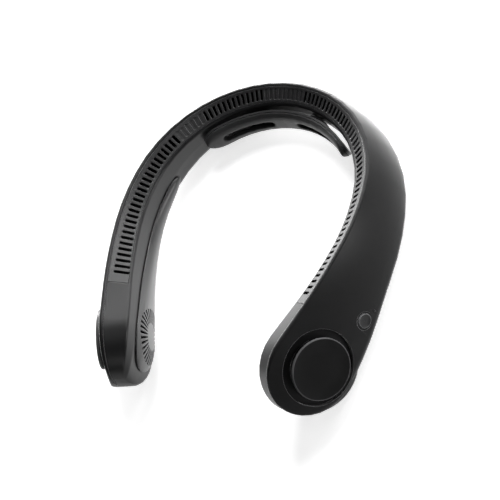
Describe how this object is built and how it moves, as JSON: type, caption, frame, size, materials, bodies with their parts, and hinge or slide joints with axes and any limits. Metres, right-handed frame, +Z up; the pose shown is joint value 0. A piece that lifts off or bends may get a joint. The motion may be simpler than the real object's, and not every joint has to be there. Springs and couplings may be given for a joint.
{
  "type": "neck fan",
  "caption": "U-shaped bladeless fan worn round the neck, with a slotted vent strip along its top edge, a blower in each round end and a soft pad at the nape.",
  "frame": {"origin": "middle of the bounding box on the table, under the U", "axes": "+Z up; +Y from the open front towards the nape; +X to the right as seen from the open front, towards the arm with the button"},
  "size_m": [0.2168, 0.2257, 0.0641],
  "materials": {
    "outer_shell": "satin charcoal",
    "inner_shell": "satin charcoal",
    "strip": "satin charcoal",
    "cap": "fine matt black",
    "pad": "soft matt black",
    "pad_plate": "matt black",
    "screw": "plain",
    "steel": "ground",
    "port_shell": "plated",
    "inner_plastic": "as moulded",
    "impeller": "as moulded",
    "magnet": "bonded magnet",
    "winding": "enamelled copper on poles",
    "bearing": "sintered bronze",
    "board": "solder mask",
    "cell": "wrapped cell",
    "holder": "as moulded",
    "switch": "as moulded",
    "clear": "translucent",
    "lead": "insulated lead"
  },
  "bodies": {
    "case": {"outer_shell": "outer_shell", "inner_shell": "inner_shell", "vent_strip": "strip", "case_screws": "screw", "left_inner_cover": "inner_shell", "right_inner_cover": "inner_shell", "left_outer_cap": "cap", "right_outer_cap": "cap", "left_fan_housing": "inner_plastic", "right_fan_housing": "inner_plastic", "left_stator": "winding", "right_stator": "winding", "left_bearings": "bearing", "right_bearings": "bearing", "left_motor_base": "inner_plastic", "right_motor_base": "inner_plastic", "left_motor_board": "board", "right_motor_board": "board", "left_air_guide": "inner_plastic", "right_air_guide": "inner_plastic", "left_battery": "cell", "right_battery": "cell", "left_battery_holder": "holder", "right_battery_holder": "holder", "main_board": "board", "tact_switch": "switch", "light_pipe": "clear", "charging_port": "port_shell", "port_board": "board", "wiring_lead": "lead", "neck_pad": "pad", "pad_plate": "pad_plate", "pad_brackets": "pad_plate", "pad_screws": "screw"},
    "left_rotor": {"left_impeller": "impeller", "left_rotor_cup": "steel", "left_rotor_magnet": "magnet", "left_shaft": "steel"},
    "right_rotor": {"right_impeller": "impeller", "right_rotor_cup": "steel", "right_rotor_magnet": "magnet", "right_shaft": "steel"},
    "button": {"power_button": "outer_shell", "switch_plunger": "clear"}
  },
  "joints": [
    {"name": "left_fan_spin", "type": "hinge", "parent": "case", "child": "left_rotor", "pos_m": [-0.0747, -0.07863, 0.02842], "axis": [-0.8663, -0.2714, 0.4194], "continuous": true},
    {"name": "right_fan_spin", "type": "hinge", "parent": "case", "child": "right_rotor", "pos_m": [0.0747, -0.07863, 0.02842], "axis": [0.8663, -0.2714, 0.4194], "continuous": true},
    {"name": "power_button_press", "type": "slide", "parent": "case", "child": "button", "axis": [-0.9178, 0.2112, -0.3362], "range_m": [0, 0.0005], "stiffness_N_per_m": 500, "springref_m": -0.0005}
  ]
}
